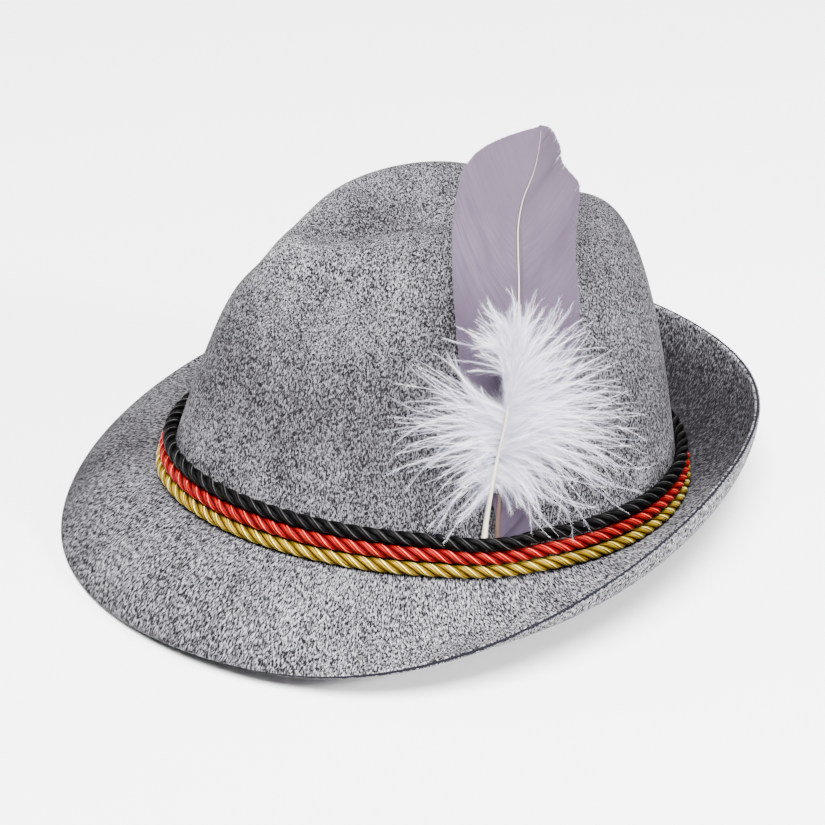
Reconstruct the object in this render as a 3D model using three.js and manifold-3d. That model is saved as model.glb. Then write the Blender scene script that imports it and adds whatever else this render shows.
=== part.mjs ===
// Tyrolean hat: one moulded felt shell with a creased crown and a turned-up brim, three
// twisted cords around the crown, a long flat feather and a short fluffy marabou feather.
// Millimetres, +Z up, the front towards -Y, the feathers on the +X side. The hat rests on its
// brim, its front raised a little, as it does when it is put down.
import * as THREE from 'three';
import Module from 'manifold-3d';

// Felt body sizes
const BASE_LENGTH = 205;        // crown where it meets the brim, outside, front to back
const BASE_WIDTH = 162.2;       // the same, side to side
const CROWN_HEIGHT = 128;       // crown above the brim line, before it is creased
const BRIM_WIDTH = 56.2;        // felt of the brim at its widest, from the crown to the cut edge
const FELT_THICKNESS = 2.2;
const BASE_FLARE = 1;           // the crown's foot runs out by this much
const FLARE_HEIGHT = 22;        // over about this height
const BEND = 2.2;               // length of felt that each side of the bend at the brim takes up
const DENT_DEPTH = 28.4;        // crease along the top of the crown
const DENT_HALF_WIDTH = 33.3;
const PINCH_DEPTH = 7.5;        // one pinch on each side of the crown's front
const REST_FLAT = 0.6;          // how far the felt is flattened where it stands

// Cord sizes
const CORD_DIAMETER = 5.2;
const CORD_GAP = 0.3;           // between a cord and what it lies on
const CORD_LIFT = 0.8;          // underside of the lowest cord above the brim line
const CORD_BULGE_WIDTH = 16;    // half the stretch where the cords pass over the quills

// Feather sizes
const FEATHER_LENGTH = 154.8;   // long feather, from behind the upper cord to its tip
const FEATHER_WIDTH = 49.6;
const VANE_THICKNESS = 0.8;
const SHAFT_DIAMETER = 2.4;     // its quill behind the cord
const SHAFT_TIP_DIAMETER = 1.1;
const FEATHER_STANDOFF = 6;     // clear of the crown's shoulder
const FEATHER_PLACE = 4.7;      // quill behind the crown's middle
const MARABOU_LENGTH = 74;      // short feather's quill
const MARABOU_QUILL_DIAMETER = 2.6;
const MARABOU_TIP_DIAMETER = 1;
const MARABOU_PLACE = -0.4;
const MARABOU_RISE = 8;         // how far the quill stands forward of the long feather
const LOCK_WIDTH = 13;          // a lock of down at its fullest
const LOCK_THICKNESS = 6;
const LOCK_TIP_WIDTH = 1.8;
const LOCK_LENGTH = 54;         // longest lock
const QUILL_GAP = 0.3;          // between a quill and what it lies on

// Shapes without a length of their own
const OUTLINE_POWER = 1.9;      // 2 is an ellipse, less is more pointed
const OUTLINE_EGG = 0.05;       // wider behind the middle than before it
const CROWN_ROUNDING = 0.392;
const CROWN_RISE = 1.1;
const CROWN_TAPER = { side: 0.36, front: 0.174, back: 0.183 };
const CROWN_TILT = 0.056;       // the top is higher at the back
const BRIM_CURL = 1.3;          // more than 1 bends the brim most near its edge
const FLAT_TOP = 4;             // power of the bulge over the quills
const CORD_BULGES = { gold: 0.25, red: 0.6, black: 1 };   // shares of a quill's thickness
const QUILL_START = 0.6;        // quills begin this share of a radius below the upper cord's middle
const STEEPEST_REST = Math.PI / 6;

// Crease on top. front, back: its ends, as shares of half the base length. narrow: its width at
// the front, as a share of its width at the back. soft: length of its ends, as a share of half
// the base length. from, over: where up the crown it begins, as shares of the height. flank:
// how steep its sides are.
const DENT = {
  front: -0.556, back: 0.498, narrow: 0.581, soft: 0.068, from: 0.45, over: 0.4, flank: 1.2,
};

// Pinches. turn, spread, blunt: degrees from the front, blunt rounds the nose between the two.
// height, reach: shares of the crown's height. inside, over: share of the way out from the
// crown's middle where a pinch begins, and over which it grows.
const PINCH = { turn: 33.7, spread: 28, blunt: 3, height: 0.723, reach: 0.102, inside: 0.3, over: 0.3 };

// Brim sections from the front (turn 0) to the back (turn 180), the same on both sides.
// width: share of BRIM_WIDTH. root, edge: slope in degrees at the crown and at the cut edge.
const BRIM_SECTIONS = [
  { turn: 0, width: 0.935, root: -20.5, edge: -60 },
  { turn: 45, width: 0.999, root: -6, edge: -44 },
  { turn: 90, width: 1, root: -25, edge: 54.3 },
  { turn: 135, width: 0.914, root: 22.4, edge: 90.4 },
  { turn: 180, width: 0.907, root: 30, edge: 95.1 },
];

// Long feather's web. along: share of FEATHER_LENGTH. shaft: how far the shaft has wandered
// back. left, right: edges of the web. All three are shares of FEATHER_WIDTH from the quill's
// foot, towards the back of the hat.
const VANE_SECTIONS = [
  { along: 0.032, shaft: 0.0, left: -0.01, right: 0.3 },
  { along: 0.1, shaft: 0.01, left: -0.04, right: 0.34 },
  { along: 0.2, shaft: 0.03, left: -0.14, right: 0.44 },
  { along: 0.31, shaft: 0.057, left: -0.25, right: 0.54 },
  { along: 0.43, shaft: 0.09, left: -0.325, right: 0.59 },
  { along: 0.54, shaft: 0.123, left: -0.367, right: 0.598 },
  { along: 0.63, shaft: 0.122, left: -0.393, right: 0.583 },
  { along: 0.7, shaft: 0.111, left: -0.402, right: 0.553 },
  { along: 0.775, shaft: 0.109, left: -0.403, right: 0.558 },
  { along: 0.838, shaft: 0.15, left: -0.391, right: 0.577 },
  { along: 0.87, shaft: 0.192, left: -0.376, right: 0.556 },
  { along: 0.891, shaft: 0.215, left: -0.362, right: 0.494 },
  { along: 0.917, shaft: 0.236, left: -0.305, right: 0.432 },
  { along: 0.949, shaft: 0.262, left: -0.19, right: 0.417 },
  { along: 0.972, shaft: 0.283, left: -0.04, right: 0.384 },
  { along: 0.988, shaft: 0.3, left: 0.13, right: 0.352 },
  { along: 1, shaft: 0.31, left: 0.255, right: 0.31 },
];

// Short feather's quill. along: share of MARABOU_LENGTH. side: towards the back of the hat and
// out: forward of the long feather, as shares of MARABOU_LENGTH and MARABOU_RISE.
const QUILL_POINTS = [
  { along: 0, side: 0, out: 0 },
  { along: 0.1, side: 0.008, out: 0.03 },
  { along: 0.26, side: 0.021, out: 0.3 },
  { along: 0.45, side: 0.04, out: 0.62 },
  { along: 0.62, side: 0.066, out: 0.88 },
  { along: 0.82, side: 0.085, out: 1 },
  { along: 1, side: 0.1, out: 1 },
];

// Locks of down. from: share of the quill's length. turn: degrees from straight up, positive
// towards the back of the hat. length: share of LOCK_LENGTH. lift: how far the tip stands
// forward, as a share of the lock's length.
const LOCKS = [
  { from: 0.95, turn: -28, length: 0.42, lift: 0.1 },
  { from: 0.96, turn: -2, length: 0.42, lift: 0.08 },
  { from: 0.93, turn: 26, length: 0.5, lift: 0.1 },
  { from: 0.86, turn: 48, length: 0.6, lift: 0.16 },
  { from: 0.74, turn: -46, length: 0.66, lift: 0.14 },
  { from: 0.66, turn: -66, length: 0.86, lift: 0.14 },
  { from: 0.62, turn: -98, length: 0.88, lift: 0.14 },
  { from: 0.68, turn: 72, length: 0.78, lift: 0.2 },
  { from: 0.62, turn: 96, length: 1, lift: 0.22 },
  { from: 0.5, turn: 110, length: 0.98, lift: 0.22 },
  { from: 0.36, turn: 126, length: 0.84, lift: 0.22 },
  { from: 0.3, turn: 144, length: 0.6, lift: 0.3 },
  { from: 0.48, turn: -118, length: 0.66, lift: 0.18 },
  { from: 0.55, turn: 20, length: 0.46, lift: 0.5 },
];

// A lock's width at even steps from the quill to its tip, from 0 at the tip's own width to 1.
const LOCK_FULLNESS = [0.35, 1, 0.75, 0];
const LOCK_STEPS = LOCK_FULLNESS.length - 1;

// How finely the surfaces are divided
const TURNS = 60;
const CROWN_ROWS = 18;
const BRIM_ROWS = 8;
const STEPS_PER_ROW = 6;
const CORD_SIDES = 8;
const VANE_COLUMNS = 4;
const SHAFT_SIDES = 6;
const LOCK_SIDES = 5;
const PROFILE_STEPS = 400;
const HALVINGS = 40;            // of the search for the resting tilt

const FELT_GREY = new THREE.MeshStandardMaterial({ color: 0x97979a, roughness: 0.95, metalness: 0 });
const BLACK_CORD = new THREE.MeshStandardMaterial({ color: 0x17171a, roughness: 0.45, metalness: 0 });
const RED_CORD = new THREE.MeshStandardMaterial({ color: 0xc3241d, roughness: 0.45, metalness: 0 });
const GOLD_CORD = new THREE.MeshStandardMaterial({ color: 0xc9a53a, roughness: 0.35, metalness: 0.4 });
const MAUVE_FEATHER = new THREE.MeshStandardMaterial({ color: 0xa79cab, roughness: 0.7, metalness: 0 });
const WHITE_DOWN = new THREE.MeshStandardMaterial({ color: 0xf1f0f5, roughness: 0.9, metalness: 0 });

const halfLength = BASE_LENGTH / 2;
const halfWidth = BASE_WIDTH / 2;
const cordRadius = CORD_DIAMETER / 2;
const cordDistance = cordRadius + CORD_GAP;
const goldHeight = cordRadius + CORD_LIFT;
const cordStep = CORD_DIAMETER + CORD_GAP;

const signedPower = (value, power) => Math.sign(value) * Math.abs(value) ** power;
const clamp01 = (value) => Math.min(1, Math.max(0, value));
const mix = (a, b, share) => a + (b - a) * share;
const bell = (value) => Math.exp(-value * value);

// A smooth even function of the turn through a table's evenly spaced sections.
function aroundBrim(key) {
  const last = BRIM_SECTIONS.length - 1;
  const weight = (index) => (index === 0 || index === last ? 0.5 : 1);
  const terms = BRIM_SECTIONS.map((_, order) => (2 / last) * weight(order) *
    BRIM_SECTIONS.reduce((sum, row, index) =>
      sum + weight(index) * row[key] * Math.cos(Math.PI * index * order / last), 0));
  return (turn) => terms.reduce((sum, term, order) => sum + term * Math.cos(order * turn), 0);
}
const brimWidthShare = aroundBrim('width');
const brimRoot = aroundBrim('root');
const brimEdge = aroundBrim('edge');

// Outline of the crown where it meets the brim, and its outward normal.
function outline(turn) {
  const at = (angle) => new THREE.Vector2(
    halfWidth * signedPower(Math.sin(angle), 2 / OUTLINE_POWER) * (1 - OUTLINE_EGG * Math.cos(angle)),
    -halfLength * signedPower(Math.cos(angle), 2 / OUTLINE_POWER));
  const small = 0.02;
  const along = at(turn + small).sub(at(turn - small)).normalize();
  return { point: at(turn), normal: new THREE.Vector2(along.y, -along.x) };
}

// Crown, outside. share is the height as a share of CROWN_HEIGHT, 1 at the middle of the top.
function crownPoint(turn, share) {
  const { point, normal } = outline(turn);
  const spread = (1 - share ** (2 / CROWN_RISE)) ** (CROWN_ROUNDING / 2);
  const taper = point.y < 0 ? CROWN_TAPER.front : CROWN_TAPER.back;
  const x = point.x * spread * (1 - CROWN_TAPER.side * share);
  const y = point.y * spread * (1 - taper * share);
  let z = CROWN_HEIGHT * share * (1 + CROWN_TILT * share * y / halfLength);

  const along = (y / halfLength - DENT.front) / (DENT.back - DENT.front);
  const width = DENT_HALF_WIDTH * mix(DENT.narrow, 1, clamp01(along));
  const end = along < 0.5 ? DENT.front - y / halfLength : y / halfLength - DENT.back;
  const depth = DENT_DEPTH / (1 + Math.exp(end / DENT.soft));
  z -= depth * Math.exp(-DENT.flank * (x / width) ** 2) * clamp01((share - DENT.from) / DENT.over);

  const fromFront = THREE.MathUtils.radToDeg(Math.atan2(Math.sin(turn), Math.cos(turn)));
  const beside = Math.hypot(fromFront, PINCH.blunt) - PINCH.turn;
  const pinch = PINCH_DEPTH * bell(beside / PINCH.spread) *
    bell((z / CROWN_HEIGHT - PINCH.height) / PINCH.reach) *
    clamp01((spread - PINCH.inside) / PINCH.over);
  const flare = BASE_FLARE * bell(z / FLARE_HEIGHT);
  return new THREE.Vector3(
    x - pinch * Math.sin(turn) + flare * normal.x,
    y + pinch * Math.cos(turn) + flare * normal.y,
    z);
}

// Slope of the brim's felt, in radians, at a distance walked from the crown.
function brimSlope(turn, walked) {
  const share = walked / (BRIM_WIDTH * brimWidthShare(turn));
  return THREE.MathUtils.degToRad(mix(brimRoot(turn), brimEdge(turn), share ** BRIM_CURL));
}

// Crown wall at a height above the brim line on one turn, and the wall's outward normal.
function wallAt(turn, height) {
  const small = 0.5;
  const point = crownPoint(turn, height / CROWN_HEIGHT);
  const above = crownPoint(turn, (height + small) / CROWN_HEIGHT);
  const { normal } = outline(turn);
  const lean = ((point.x - above.x) * normal.x + (point.y - above.y) * normal.y) / small;
  return { point, normal: new THREE.Vector3(normal.x, normal.y, lean).normalize() };
}

// Middle of a cord at a height, and the level direction that points away from the wall.
function cordCentre(turn, height, distance) {
  const { point, normal } = wallAt(turn, height);
  const level = Math.hypot(normal.x, normal.y);
  const away = new THREE.Vector3(normal.x, normal.y, 0).divideScalar(level);
  return { centre: point.clone().setZ(height).addScaledVector(away, distance / level), away };
}

// Height of the bend line: the brim drops or rises there, so that the lowest cord lies level
// around the crown and still touches the sloping felt.
function bendHeight(turn) {
  const { point, normal } = outline(turn);
  const { centre } = cordCentre(turn, goldHeight, cordDistance);
  const reach = (centre.x - point.x) * normal.x + (centre.y - point.y) * normal.y - BASE_FLARE;
  const slope = brimSlope(turn, reach + cordRadius);
  return goldHeight - (cordDistance + reach * Math.sin(slope)) / Math.cos(slope);
}

// Brim, upper side: its rows from BEND out to the cut edge.
function brimRows(turn) {
  const { point, normal } = outline(turn);
  const width = BRIM_WIDTH * brimWidthShare(turn);
  const position = new THREE.Vector3(
    point.x + BASE_FLARE * normal.x, point.y + BASE_FLARE * normal.y, bendHeight(turn));
  const rows = [];
  let walked = 0;
  for (let row = 0; row <= BRIM_ROWS; row += 1) {
    const target = mix(BEND, width, row / BRIM_ROWS);
    const step = (target - walked) / STEPS_PER_ROW;
    for (let i = 0; i < STEPS_PER_ROW; i += 1) {
      const slope = brimSlope(turn, walked + step / 2);
      position.x += normal.x * Math.cos(slope) * step;
      position.y += normal.y * Math.cos(slope) * step;
      position.z += Math.sin(slope) * step;
      walked += step;
    }
    rows.push(position.clone());
  }
  return rows;
}

// Height shares of the crown's rows, evenly spaced along the felt from the foot to the top.
function crownShares() {
  const at = (share) => new THREE.Vector2(
    halfWidth * (1 - share ** (2 / CROWN_RISE)) ** (CROWN_ROUNDING / 2) *
      (1 - CROWN_TAPER.side * share),
    CROWN_HEIGHT * share);
  const lengths = [0];
  const shares = [0];
  for (let i = 1; i <= PROFILE_STEPS; i += 1) {
    shares.push(Math.sin(Math.PI / 2 * i / PROFILE_STEPS) ** CROWN_RISE);
    lengths.push(lengths[i - 1] + at(shares[i]).distanceTo(at(shares[i - 1])));
  }
  const total = lengths[PROFILE_STEPS];
  return Array.from({ length: CROWN_ROWS }, (_, row) => {
    const target = total * row / CROWN_ROWS;
    const next = Math.max(1, lengths.findIndex((length) => length >= target));
    const share = (target - lengths[next - 1]) / (lengths[next] - lengths[next - 1]);
    return mix(shares[next - 1], shares[next], share);
  });
}

// The felt's outer and upper side: for each turn a column of points from the row below the
// crown's middle, down the crown, round the bend and out to the brim's edge.
function feltColumns() {
  const shares = crownShares().reverse();
  return Array.from({ length: TURNS }, (_, index) => {
    const turn = 2 * Math.PI * index / TURNS;
    const foot = (bendHeight(turn) + BEND) / CROWN_HEIGHT;
    const crown = shares.map((share) => crownPoint(turn, mix(foot, 1, share)));
    const brim = brimRows(turn);
    const { point, normal } = outline(turn);
    const corner = new THREE.Vector3(
      point.x + BASE_FLARE * normal.x, point.y + BASE_FLARE * normal.y, bendHeight(turn));
    const bend = crown[crown.length - 1].clone().add(brim[0]).multiplyScalar(0.25)
      .addScaledVector(corner, 0.5);
    return [...crown, bend, ...brim];
  });
}

// Unit normals of the felt's outer side, one for each point of the columns.
function feltNormals(columns, top) {
  const rows = columns[0].length;
  return columns.map((column, index) => column.map((_, row) => {
    const before = columns[(index + TURNS - 1) % TURNS][row];
    const after = columns[(index + 1) % TURNS][row];
    const above = row === 0 ? top : column[row - 1];
    const below = column[Math.min(row + 1, rows - 1)];
    return new THREE.Vector3().subVectors(below, above)
      .cross(new THREE.Vector3().subVectors(after, before)).normalize();
  }));
}

// Tilt at which the hat rests on the front and the back of its brim, the height of the
// surface under it in the hat's own frame, and that surface's upward direction.
function restingPlane(points) {
  const lowest = (angle, behind) => {
    const up = new THREE.Vector3(0, -Math.sin(angle), Math.cos(angle));
    return Math.min(...points.filter((p) => (p.y > 0) === behind).map((p) => p.dot(up)));
  };
  let low = 0;
  let high = STEEPEST_REST;
  for (let i = 0; i < HALVINGS; i += 1) {
    const middle = (low + high) / 2;
    if (lowest(middle, true) > lowest(middle, false)) low = middle;
    else high = middle;
  }
  const up = new THREE.Vector3(0, -Math.sin(low), Math.cos(low));
  return { angle: low, up, height: lowest(low, true) + REST_FLAT };
}

// A closed body from rings of points. Each ring runs anticlockwise seen from where the next
// ring lies. joined closes the last ring on the first one, otherwise both ends are capped.
function loft(rings, joined) {
  const sides = rings[0].length;
  const positions = rings.flat().flatMap((p) => [p.x, p.y, p.z]);
  const index = [];
  const spans = joined ? rings.length : rings.length - 1;
  for (let ring = 0; ring < spans; ring += 1) {
    const here = ring * sides;
    const next = ((ring + 1) % rings.length) * sides;
    for (let side = 0; side < sides; side += 1) {
      const after = (side + 1) % sides;
      index.push(here + side, here + after, next + after, here + side, next + after, next + side);
    }
  }
  if (!joined) {
    const last = (rings.length - 1) * sides;
    for (let side = 1; side < sides - 1; side += 1) {
      index.push(0, side + 1, side, last, last + side, last + side + 1);
    }
  }
  const geometry = new THREE.BufferGeometry();
  geometry.setAttribute('position', new THREE.Float32BufferAttribute(positions, 3));
  geometry.setIndex(index);
  return geometry;
}

// Rings of a tube that faces one way. halfWidth and halfThickness, level with and along that
// way, are functions of the share of the way along the tube.
function tubeRings(points, sides, facing, halfWidth, halfThickness) {
  const curve = new THREE.CatmullRomCurve3(points, false, 'centripetal');
  return points.map((_, step) => {
    const share = step / (points.length - 1);
    const along = curve.getTangent(share);
    const across = new THREE.Vector3().crossVectors(facing, along).normalize();
    const front = new THREE.Vector3().crossVectors(along, across);
    return Array.from({ length: sides }, (_, side) => {
      const angle = 2 * Math.PI * side / sides;
      return points[step].clone()
        .addScaledVector(across, halfWidth(share) * Math.cos(angle))
        .addScaledVector(front, halfThickness(share) * Math.sin(angle));
    });
  });
}

const wasm = await Module();
wasm.setup();

function toSolid(geometry) {
  return new wasm.Manifold(new wasm.Mesh({
    numProp: 3,
    vertProperties: new Float32Array(geometry.attributes.position.array),
    triVerts: new Uint32Array(geometry.index.array),
  }));
}

function fromSolid(solid) {
  const { vertProperties, triVerts } = solid.getMesh();
  const geometry = new THREE.BufferGeometry();
  geometry.setAttribute('position', new THREE.BufferAttribute(vertProperties, 3));
  geometry.setIndex(new THREE.BufferAttribute(triVerts, 1));
  return geometry;
}

// Moulded felt shell
const columns = feltColumns();
const crownTop = crownPoint(0, 1);
const normals = feltNormals(columns, crownTop);
const inward = columns.map((column, index) => column.map((p, row) =>
  p.clone().addScaledVector(normals[index][row], -FELT_THICKNESS)));
const rest = restingPlane([...columns.flat(), ...inward.flat()]);

function flattened(point) {
  const below = rest.height - point.dot(rest.up);
  return below > 0 ? point.clone().addScaledVector(rest.up, below) : point;
}

function feltBody() {
  const rows = columns[0].length;
  const outer = columns.flat().map(flattened);
  const inner = inward.flat().map(flattened);
  const innerTop = crownTop.clone().setZ(crownTop.z - FELT_THICKNESS);
  const positions = [...outer, ...inner, crownTop, innerTop].flatMap((p) => [p.x, p.y, p.z]);
  const innerStart = outer.length;
  const outerTopIndex = outer.length + inner.length;
  const index = [];
  for (let turn = 0; turn < TURNS; turn += 1) {
    const here = turn * rows;
    const next = ((turn + 1) % TURNS) * rows;
    index.push(outerTopIndex, here, next);
    index.push(outerTopIndex + 1, innerStart + next, innerStart + here);
    for (let row = 0; row < rows - 1; row += 1) {
      index.push(here + row, here + row + 1, next + row + 1, here + row, next + row + 1, next + row);
      const a = innerStart + here + row;
      const b = innerStart + next + row;
      index.push(a, b + 1, a + 1, a, b, b + 1);
    }
    const edge = here + rows - 1;
    const nextEdge = next + rows - 1;
    index.push(edge, innerStart + edge, innerStart + nextEdge, edge, innerStart + nextEdge, nextEdge);
  }
  const geometry = new THREE.BufferGeometry();
  geometry.setAttribute('position', new THREE.Float32BufferAttribute(positions, 3));
  geometry.setIndex(index);
  return geometry;
}

// Turn at which a quill stands at a given distance behind the hat's middle.
function turnAt(place) {
  return Math.PI / 2 + Math.asin(Math.min(1, Math.max(-1, place / halfLength)));
}

// Cords. order counts up from the gold one. The upper ones bulge over the quills.
function cord(order, bulge) {
  const height = goldHeight + order * cordStep;
  const middle = turnAt((FEATHER_PLACE + MARABOU_PLACE) / 2);
  const quill = Math.max(SHAFT_DIAMETER, MARABOU_QUILL_DIAMETER);
  const rings = Array.from({ length: TURNS }, (_, index) => {
    const turn = 2 * Math.PI * index / TURNS;
    const beside = (turn - middle) * halfLength / CORD_BULGE_WIDTH;
    const over = bulge * (quill + QUILL_GAP) * Math.exp(-(beside ** FLAT_TOP));
    const { centre, away } = cordCentre(turn, height, cordDistance + over);
    return Array.from({ length: CORD_SIDES }, (_, side) => {
      const angle = 2 * Math.PI * side / CORD_SIDES;
      return centre.clone().addScaledVector(away, cordRadius * Math.cos(angle))
        .add(new THREE.Vector3(0, 0, -cordRadius * Math.sin(angle)));
    });
  });
  return loft(rings, true);
}

// The plane that both feathers lie along: a line up the crown's side, from behind the upper
// cord to clear of the shoulder. out is measured square to it.
const blackHeight = goldHeight + 2 * cordStep;
const quillFoot = wallAt(turnAt(FEATHER_PLACE), blackHeight);
const shoulder = wallAt(turnAt(FEATHER_PLACE), CROWN_HEIGHT * PINCH.height);
const footX = quillFoot.point.x + (SHAFT_DIAMETER / 2 + QUILL_GAP) / quillFoot.normal.x;
const footZ = blackHeight - cordRadius * QUILL_START;
const lean = (footX - shoulder.point.x - FEATHER_STANDOFF) / (shoulder.point.z - blackHeight);
const upward = new THREE.Vector3(-lean, 0, 1).normalize();
const outward = new THREE.Vector3(1, 0, lean).normalize();
const foot = new THREE.Vector3(footX + lean * (blackHeight - footZ), 0, footZ);

function onSheet(along, side, out) {
  return foot.clone().addScaledVector(upward, along).addScaledVector(outward, out)
    .setY(side);
}

// Long feather: a thin web with its shaft, as one body. grow makes the room that the short
// feather leaves around it.
function longFeather(grow) {
  const thickness = VANE_THICKNESS / 2 + grow;
  const webRings = VANE_SECTIONS.map((row) => {
    const at = (share, out) => {
      const side = mix(row.left, row.right, share) * FEATHER_WIDTH;
      return onSheet(row.along * FEATHER_LENGTH, FEATHER_PLACE + side, out);
    };
    const shares = Array.from({ length: VANE_COLUMNS + 1 }, (_, column) => column / VANE_COLUMNS);
    return [
      ...shares.map((share) => at(share, thickness)),
      ...shares.reverse().map((share) => at(share, -thickness)),
    ];
  });
  const spine = [
    onSheet(0, FEATHER_PLACE, 0),
    ...VANE_SECTIONS.slice(0, -1).map((row) =>
      onSheet(row.along * FEATHER_LENGTH, FEATHER_PLACE + row.shaft * FEATHER_WIDTH, 0)),
  ];
  const radius = (share) => mix(SHAFT_DIAMETER, SHAFT_TIP_DIAMETER, share) / 2 + grow;
  const web = toSolid(loft(webRings, false));
  return web.add(toSolid(loft(tubeRings(spine, SHAFT_SIDES, outward, radius, radius), false)));
}

// Short feather: its quill and the locks of down that leave it, as one body.
function marabouPoint(share) {
  const next = Math.max(1, QUILL_POINTS.findIndex((row) => row.along >= share));
  const a = QUILL_POINTS[next - 1];
  const b = QUILL_POINTS[next];
  const between = (share - a.along) / (b.along - a.along);
  return onSheet(share * MARABOU_LENGTH,
    MARABOU_PLACE + mix(a.side, b.side, between) * MARABOU_LENGTH,
    mix(a.out, b.out, between) * MARABOU_RISE);
}

function lockOfDown({ from, turn, length, lift }) {
  const start = marabouPoint(from);
  const angle = THREE.MathUtils.degToRad(turn);
  const direction = upward.clone().multiplyScalar(Math.cos(angle))
    .add(new THREE.Vector3(0, Math.sin(angle), 0));
  const points = Array.from({ length: LOCK_STEPS + 1 }, (_, step) => {
    const share = step / LOCK_STEPS;
    return start.clone().addScaledVector(direction, share * length * LOCK_LENGTH)
      .addScaledVector(outward, lift * length * LOCK_LENGTH * share * (2 - share));
  });
  const fullness = (share) => LOCK_FULLNESS[Math.round(share * LOCK_STEPS)];
  const halfLockWidth = (share) => mix(LOCK_TIP_WIDTH, LOCK_WIDTH, fullness(share)) / 2;
  const halfLockThickness = (share) => halfLockWidth(share) * LOCK_THICKNESS / LOCK_WIDTH;
  const rings = tubeRings(points, LOCK_SIDES, outward, halfLockWidth, halfLockThickness);
  return toSolid(loft(rings, false));
}

function marabouFeather() {
  const points = QUILL_POINTS.map((row) => marabouPoint(row.along));
  const radius = (share) => mix(MARABOU_QUILL_DIAMETER, MARABOU_TIP_DIAMETER, share) / 2;
  const quill = toSolid(loft(tubeRings(points, SHAFT_SIDES, outward, radius, radius), false));
  return LOCKS.reduce((body, row) => body.add(lockOfDown(row)), quill)
    .subtract(longFeather(QUILL_GAP));
}

function named(name, geometry, material) {
  const mesh = new THREE.Mesh(geometry, material);
  mesh.name = name;
  return mesh;
}

// The hat in its own frame, level with the head opening, then set down on its brim.
const hat = new THREE.Group();
hat.add(named('felt_body', feltBody(), FELT_GREY));
hat.add(named('cord_gold', cord(0, CORD_BULGES.gold), GOLD_CORD));
hat.add(named('cord_red', cord(1, CORD_BULGES.red), RED_CORD));
hat.add(named('cord_black', cord(2, CORD_BULGES.black), BLACK_CORD));
hat.add(named('long_feather', fromSolid(longFeather(0)), MAUVE_FEATHER));
hat.add(named('marabou_feather', fromSolid(marabouFeather()), WHITE_DOWN));
hat.rotation.x = -rest.angle;
hat.position.z = -rest.height;

const group = new THREE.Group();
group.add(hat);
group.updateMatrixWorld(true);
const box = new THREE.Box3().setFromObject(group, true);
const centre = box.getCenter(new THREE.Vector3());
group.position.set(-centre.x, -centre.y, 0);

export default group;
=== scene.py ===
"""Looks of a tyrolean hat of grey felt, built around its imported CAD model.

Shapes are worked out in millimetres in the hat's own frame, which is level with the head
opening, and are then set down on the brim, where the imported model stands, in metres.
"""
import math

import bpy
import numpy as np
from mathutils import Matrix, Vector

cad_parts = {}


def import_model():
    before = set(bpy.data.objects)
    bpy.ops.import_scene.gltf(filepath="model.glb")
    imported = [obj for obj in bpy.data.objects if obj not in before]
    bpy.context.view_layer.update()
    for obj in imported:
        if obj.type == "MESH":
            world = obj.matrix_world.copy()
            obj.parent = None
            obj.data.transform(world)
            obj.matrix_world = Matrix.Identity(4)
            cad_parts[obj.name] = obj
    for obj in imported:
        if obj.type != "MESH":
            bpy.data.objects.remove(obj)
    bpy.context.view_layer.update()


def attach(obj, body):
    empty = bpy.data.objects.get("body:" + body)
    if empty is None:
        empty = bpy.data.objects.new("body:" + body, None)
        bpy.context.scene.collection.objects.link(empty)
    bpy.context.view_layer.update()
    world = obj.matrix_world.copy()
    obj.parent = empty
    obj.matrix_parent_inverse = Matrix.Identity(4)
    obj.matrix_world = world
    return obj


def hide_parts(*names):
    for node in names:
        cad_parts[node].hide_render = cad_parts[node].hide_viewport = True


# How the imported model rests: tilt about X in radians, then a shift in millimetres
REST_TILT = 0.1157441
REST_SHIFT = np.array([0, 6.02696, 14.1155])

# Felt body in millimetres, degrees and shares, with the same values as the CAD part
BASE_LENGTH = 205
BASE_WIDTH = 162.2
CROWN_HEIGHT = 128
BRIM_WIDTH = 56.2
FELT_THICKNESS = 2.2
BASE_FLARE = 1
FLARE_HEIGHT = 22
BEND = 2.2
DENT_DEPTH = 28.4
DENT_HALF_WIDTH = 33.3
PINCH_DEPTH = 7.5
OUTLINE_POWER = 1.9
OUTLINE_EGG = 0.05
CROWN_ROUNDING = 0.392
CROWN_RISE = 1.1
TAPER_SIDE = 0.36
TAPER_FRONT = 0.174
TAPER_BACK = 0.183
CROWN_TILT = 0.056
BRIM_CURL = 1.3
DENT = {"front": -0.556, "back": 0.498, "narrow": 0.581, "soft": 0.068, "from": 0.45, "over": 0.4}
PINCH = {"turn": 33.7, "spread": 28, "blunt": 3, "height": 0.723, "reach": 0.102}
PINCH_INSIDE = 0.3
PINCH_OVER = 0.3

# Brim sections from the front to the back, 45 degrees apart
BRIM_WIDTH_SHARES = [0.935, 0.999, 1, 0.914, 0.907]
BRIM_ROOT_SLOPES = [-20.5, -6, -25, 22.4, 30]
BRIM_EDGE_SLOPES = [-60, -44, 54.3, 90.4, 95.1]

# Painted shade on the felt: where the shade painted in the valley behind the crown is darkest, in
# radians past the back; how dark it is, by how far back the turn lies; how pale the crown is
# painted, from its top to the bend, as light and shade fall on it
VALLEY_TURN = 0.3
VALLEY_SHADE = np.array([[-1, 0, 0.6, 0.85, 1], [0, 0.05, 0.3, 0.85, 1]])
CROWN_PAINTED_SHADE = np.array([[0, 0.15, 0.3, 0.45, 0.7, 0.9, 1], [0.52, 0.56, 0.93, 0.64, 0.48, 0.75, 0.6]])

# Shares to which the grain is shortened down the crown and out across the brim, so that its
# pattern is drawn out there, and how far off the inside's part of the pattern is
CROWN_GRAIN = 0.36
BRIM_GRAIN = 0.27
INSIDE_SHIFT = 300

# Cut edge of the felt: rows across its thickness as shares, how dark each is painted, and how
# far its middle bulges in millimetres
RIM_SHARES = [0.12, 0.35, 0.65, 0.88]
RIM_DARK = [0, 0.8, 1, 0.3]
RIM_BULGE = 0.35

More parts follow.
